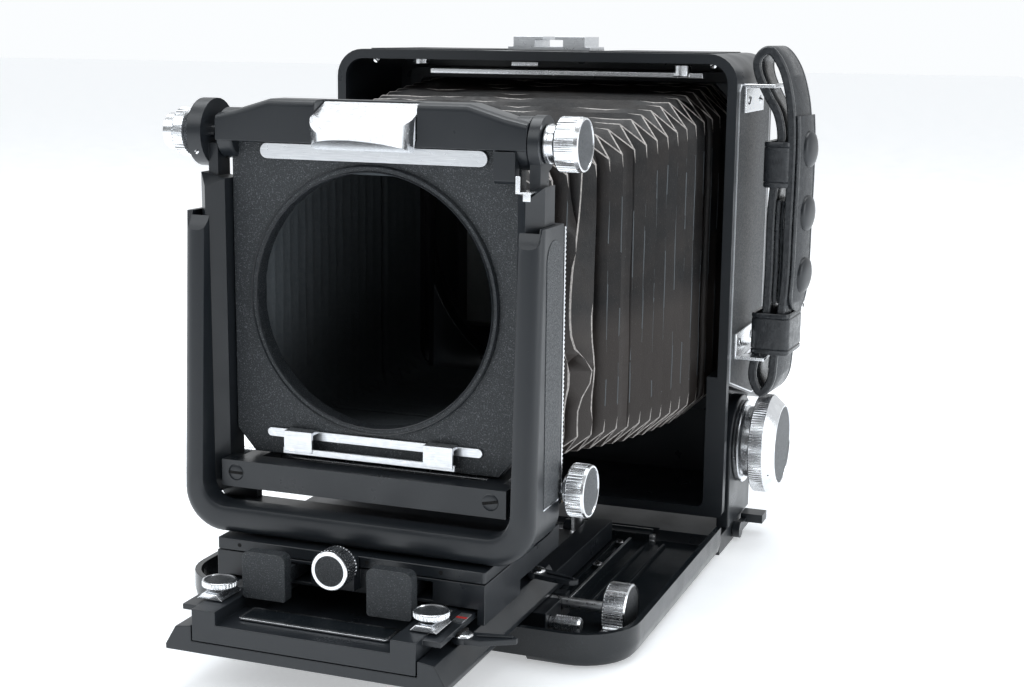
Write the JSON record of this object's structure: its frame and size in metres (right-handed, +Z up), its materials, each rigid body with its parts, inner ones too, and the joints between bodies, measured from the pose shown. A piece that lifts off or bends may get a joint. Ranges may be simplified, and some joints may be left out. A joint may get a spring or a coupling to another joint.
{
  "type": "folding view camera",
  "caption": "Metal folding view camera with pleated bellows, a sliding front standard on a geared bed, tilting rear body, revolving ground glass back and hand strap.",
  "frame": {"origin": "under the middle of the camera's bounding box, on the surface it stands on", "axes": "+X towards the hand strap side, +Y towards the back, so the lens side faces -Y, +Z up"},
  "size_m": [0.2228, 0.3046, 0.2174],
  "materials": {
    "black_paint": "satin black enamel",
    "black_crackle": "fine black crackle enamel",
    "leather": "black stitched leather",
    "bellows_leather": "pleated dark brown leather",
    "chrome": "satin chrome, knurled on the knobs",
    "satin_steel": "brushed",
    "brass": "turned",
    "glass": "ground on its front face"
  },
  "bodies": {
    "base": {"base_plate": "black_paint", "tilt_bracket_left": "black_paint", "tilt_bracket_right": "black_paint", "tripod_socket": "brass", "bed_hinge_pin": "satin_steel"},
    "base_lever": {"base_lever": "black_paint"},
    "tilt_knob_left": {"tilt_knob_left": "chrome"},
    "tilt_knob_right": {"tilt_knob_right": "chrome"},
    "bed": {"bed_tray": "black_paint", "bed_rail_base": "black_paint", "bed_post": "satin_steel"},
    "focus_lock": {"focus_lock_screw": "satin_steel"},
    "focus_shaft": {"focus_shaft": "satin_steel", "focus_knob_left": "chrome", "focus_knob_right": "chrome"},
    "track": {"track_slide": "black_paint", "track_channel": "black_paint", "nameplate": "satin_steel", "index_block_left": "chrome", "index_block_right": "chrome"},
    "index_left": {"index_screw_left": "chrome"},
    "index_right": {"index_screw_right": "chrome"},
    "stop_front": {"stop_lever_front": "chrome"},
    "stop_rear": {"stop_lever_rear": "chrome"},
    "carriage": {"carriage_base": "black_paint"},
    "grip_left": {"grip_left": "black_crackle"},
    "grip_right": {"grip_right": "black_crackle"},
    "shift": {"shift_plate": "black_paint"},
    "shift_knob": {"shift_knob": "chrome"},
    "swing": {"u_frame": "black_paint", "rack_left": "chrome", "rack_right": "chrome"},
    "riser": {"post_left": "black_paint", "post_right": "black_paint", "riser_crossbar": "black_paint"},
    "rise_knob": {"rise_knob": "chrome"},
    "lens_panel": {"lens_panel": "black_crackle", "panel_yoke": "black_paint", "upper_board_bar": "satin_steel", "lower_board_rest": "satin_steel", "bellows_front_frame": "black_paint"},
    "board_latch": {"board_latch": "chrome"},
    "front_knob_left": {"front_tilt_knob_left": "chrome"},
    "front_knob_right": {"front_tilt_knob_right": "chrome"},
    "rear_body": {"body_shell": "black_paint", "bellows": "bellows_leather", "bellows_rear_frame": "black_paint", "accessory_shoe": "satin_steel", "strap_bracket_top": "chrome", "strap_bracket_bottom": "chrome", "hand_strap": "leather", "tilt_lock_plate_left": "satin_steel", "tilt_lock_plate_right": "satin_steel", "back_ring": "satin_steel"},
    "latch_bar": {"latch_bar": "chrome"},
    "release_button": {"release_button": "chrome"},
    "revolving_back": {"back_frame": "black_paint"},
    "ground_glass": {"ground_glass_frame": "black_paint", "ground_glass": "glass"},
    "hood": {"hood_lid": "black_paint"}
  },
  "joints": [
    {"name": "bed_drop", "type": "hinge", "parent": "base", "child": "bed", "pos_m": [-0.00319, 0.0557, 0.005], "axis": [1, 0, 0], "range_deg": [0, 15]},
    {"name": "track_focus", "type": "slide", "parent": "bed", "child": "track", "axis": [0, 1, 0], "range_m": [0, 0.063]},
    {"name": "focus_spin", "type": "hinge", "parent": "bed", "child": "focus_shaft", "pos_m": [-0.00319, -0.0513, 0.011], "axis": [1, 0, 0], "range_deg": [-602, 0]},
    {"name": "focus_lock_turn", "type": "hinge", "parent": "bed", "child": "focus_lock", "pos_m": [0.05681, -0.0663, 0.0086], "axis": [1, 0, 0], "range_deg": [0, 90]},
    {"name": "index_left_turn", "type": "hinge", "parent": "track", "child": "index_left", "pos_m": [-0.04269, -0.1363, 0.029], "axis": [0, 0, 1], "range_deg": [0, 90]},
    {"name": "index_right_turn", "type": "hinge", "parent": "track", "child": "index_right", "pos_m": [0.03631, -0.1363, 0.029], "axis": [0, 0, 1], "range_deg": [0, 90]},
    {"name": "stop_front_turn", "type": "hinge", "parent": "track", "child": "stop_front", "pos_m": [0.04511, -0.1313, 0.024], "axis": [0, 0, 1], "range_deg": [-80, 0]},
    {"name": "stop_rear_turn", "type": "hinge", "parent": "track", "child": "stop_rear", "pos_m": [0.04511, -0.0613, 0.024], "axis": [0, 0, 1], "range_deg": [0, 80]},
    {"name": "carriage_slide", "type": "slide", "parent": "track", "child": "carriage", "axis": [0, 1, 0], "range_m": [-0.006, 0.018]},
    {"name": "grip_left_squeeze", "type": "slide", "parent": "carriage", "child": "grip_left", "axis": [1, 0, 0], "range_m": [0, 0.0025], "stiffness_N_per_m": 1500, "springref_m": -0.002},
    {"name": "grip_right_squeeze", "type": "slide", "parent": "carriage", "child": "grip_right", "axis": [-1, 0, 0], "range_m": [0, 0.0025], "stiffness_N_per_m": 1500, "springref_m": -0.002},
    {"name": "shift_slide", "type": "slide", "parent": "carriage", "child": "shift", "axis": [1, 0, 0], "range_m": [-0.018, 0.018]},
    {"name": "shift_spin", "type": "hinge", "parent": "carriage", "child": "shift_knob", "pos_m": [-0.00319, -0.1273, 0.041], "axis": [0, 1, 0], "range_deg": [-207, 207]},
    {"name": "swing_turn", "type": "hinge", "parent": "shift", "child": "swing", "pos_m": [-0.00319, -0.1013, 0.0435], "axis": [0, 0, 1], "range_deg": [-15, 15]},
    {"name": "rise", "type": "slide", "parent": "swing", "child": "riser", "axis": [0, 0, 1], "range_m": [-0.003, 0.05]},
    {"name": "rise_spin", "type": "hinge", "parent": "riser", "child": "rise_knob", "pos_m": [-0.00319, -0.0835, 0.0645], "axis": [1, 0, 0], "range_deg": [-72, 1194]},
    {"name": "lens_tilt", "type": "hinge", "parent": "riser", "child": "lens_panel", "pos_m": [-0.00319, -0.0933, 0.1835], "axis": [1, 0, 0], "range_deg": [-15, 15]},
    {"name": "board_latch_lift", "type": "slide", "parent": "lens_panel", "child": "board_latch", "axis": [0, 0, 1], "range_m": [0, 0.005], "stiffness_N_per_m": 600, "springref_m": -0.004},
    {"name": "front_knob_left_turn", "type": "hinge", "parent": "riser", "child": "front_knob_left", "pos_m": [-0.07319, -0.0933, 0.1835], "axis": [1, 0, 0], "range_deg": [0, 90]},
    {"name": "front_knob_right_turn", "type": "hinge", "parent": "riser", "child": "front_knob_right", "pos_m": [0.06681, -0.0933, 0.1835], "axis": [1, 0, 0], "range_deg": [0, 90]},
    {"name": "rear_tilt", "type": "hinge", "parent": "base", "child": "rear_body", "pos_m": [-0.00319, 0.0887, 0.0435], "axis": [1, 0, 0], "range_deg": [-20, 12], "deforming": ["bellows"]},
    {"name": "tilt_knob_left_turn", "type": "hinge", "parent": "base", "child": "tilt_knob_left", "pos_m": [-0.10319, 0.0887, 0.0435], "axis": [1, 0, 0], "range_deg": [0, 90]},
    {"name": "tilt_knob_right_turn", "type": "hinge", "parent": "base", "child": "tilt_knob_right", "pos_m": [0.09681, 0.0887, 0.0435], "axis": [1, 0, 0], "range_deg": [0, 90]},
    {"name": "base_lever_lift", "type": "hinge", "parent": "base", "child": "base_lever", "pos_m": [0.08781, 0.0827, 0.0046], "axis": [1, 0, 0], "range_deg": [0, 40]},
    {"name": "release_press", "type": "slide", "parent": "rear_body", "child": "release_button", "axis": [0, 0, -1], "range_m": [0, 0.002], "stiffness_N_per_m": 900, "springref_m": -0.002},
    {"name": "latch_bar_slide", "type": "slide", "parent": "rear_body", "child": "latch_bar", "axis": [1, 0, 0], "range_m": [0, 0.003]},
    {"name": "back_revolve", "type": "hinge", "parent": "rear_body", "child": "revolving_back", "pos_m": [-0.00319, 0.1337, 0.1272], "axis": [0, 1, 0], "range_deg": [0, 90]},
    {"name": "ground_glass_pull", "type": "slide", "parent": "revolving_back", "child": "ground_glass", "axis": [0, 1, 0], "range_m": [0, 0.01], "stiffness_N_per_m": 700, "springref_m": -0.01},
    {"name": "hood_open", "type": "hinge", "parent": "ground_glass", "child": "hood", "pos_m": [-0.00319, 0.1503, 0.1776], "axis": [1, 0, 0], "range_deg": [0, 90]}
  ],
  "couplings": [
    {"joint": "focus_spin", "follows": "track_focus", "rad_per_m": -166.67},
    {"joint": "shift_spin", "follows": "shift_slide", "rad_per_m": 200},
    {"joint": "rise_spin", "follows": "rise", "rad_per_m": 416.67},
    {"joint": "latch_bar_slide", "follows": "release_press", "ratio": 1.5}
  ]
}
